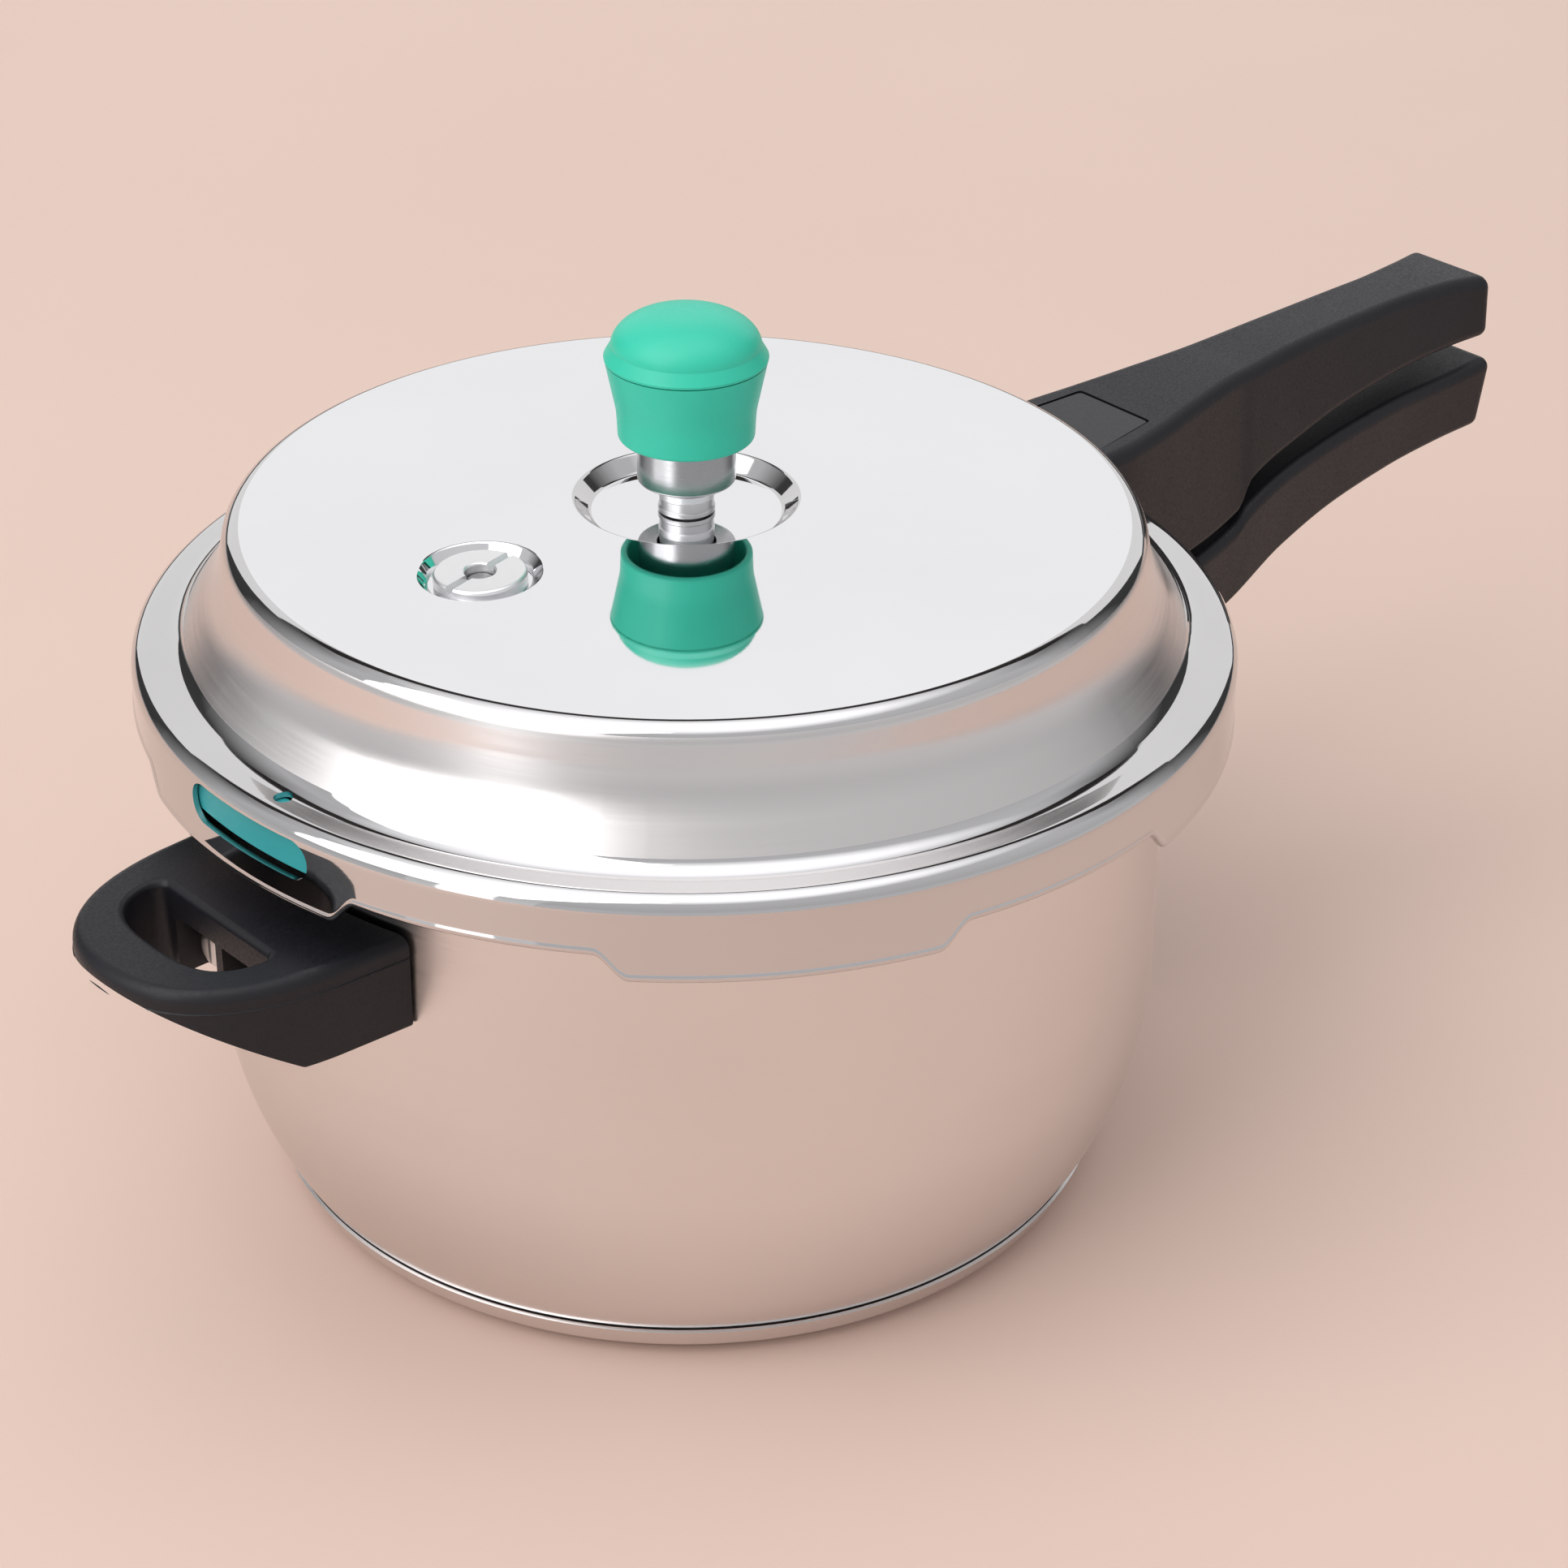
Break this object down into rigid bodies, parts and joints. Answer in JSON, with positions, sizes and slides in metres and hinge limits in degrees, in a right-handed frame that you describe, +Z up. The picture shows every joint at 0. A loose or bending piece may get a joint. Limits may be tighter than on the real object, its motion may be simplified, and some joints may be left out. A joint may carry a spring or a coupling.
{
  "type": "stovetop pressure cooker",
  "caption": "Stainless-steel stovetop pressure cooker with a turn-to-lock outer lid, weighted vent valve, safety plug, long handles and a helper handle.",
  "frame": {"origin": "centre of the base on its underside", "axes": "+Z up, +X out along the long handles when the lid is locked"},
  "size_m": [0.4184, 0.245, 0.205],
  "materials": {
    "mirror_steel": "mirror-polished stainless steel",
    "satin_steel": "turned or plain steel",
    "aluminium_core": "plain",
    "fusible_alloy": "cast, dull",
    "black_bakelite": "fine-grained matt moulding",
    "green_plastic": "satin moulding",
    "teal_rubber": "smooth silicone"
  },
  "bodies": {
    "pot": {"pot_shell": "mirror_steel", "base_core": "aluminium_core", "base_cover": "mirror_steel", "pot_handle_bracket": "satin_steel", "pot_handle": "black_bakelite", "pot_handle_washer": "satin_steel", "pot_handle_screw": "satin_steel", "helper_bracket": "satin_steel", "helper_handle": "black_bakelite", "helper_washer_left": "satin_steel", "helper_washer_right": "satin_steel", "helper_screw_left": "satin_steel", "helper_screw_right": "satin_steel"},
    "gasket": {"sealing_gasket": "teal_rubber"},
    "lid": {"lid_shell": "mirror_steel", "lid_handle_bracket": "satin_steel", "lid_handle": "black_bakelite", "lid_handle_cover": "black_bakelite", "lid_handle_screw": "satin_steel", "lid_handle_lower_screw": "satin_steel", "vent_pipe": "satin_steel", "vent_pipe_washer": "teal_rubber", "vent_pipe_nut": "satin_steel", "safety_valve_body": "satin_steel", "safety_valve_washer": "teal_rubber", "safety_valve_nut": "satin_steel", "fusible_plug": "fusible_alloy"},
    "clip": {"weight_clip": "satin_steel"},
    "weight": {"weight_body": "satin_steel", "weight_grip": "green_plastic", "weight_cap": "green_plastic"}
  },
  "joints": [
    {"name": "lid_lift", "type": "slide", "parent": "pot", "child": "gasket", "axis": [0, 0, 1], "range_m": [0, 0.14]},
    {"name": "lid_turn", "type": "hinge", "parent": "gasket", "child": "lid", "pos_m": [0, 0, 0.128], "axis": [0, 0, 1], "range_deg": [0, 30]},
    {"name": "weight_lift", "type": "slide", "parent": "lid", "child": "clip", "axis": [0, 0, 1], "range_m": [0, 0.042]},
    {"name": "weight_spin", "type": "hinge", "parent": "clip", "child": "weight", "pos_m": [0, 0, 0.173], "axis": [0, 0, 1], "continuous": true}
  ]
}
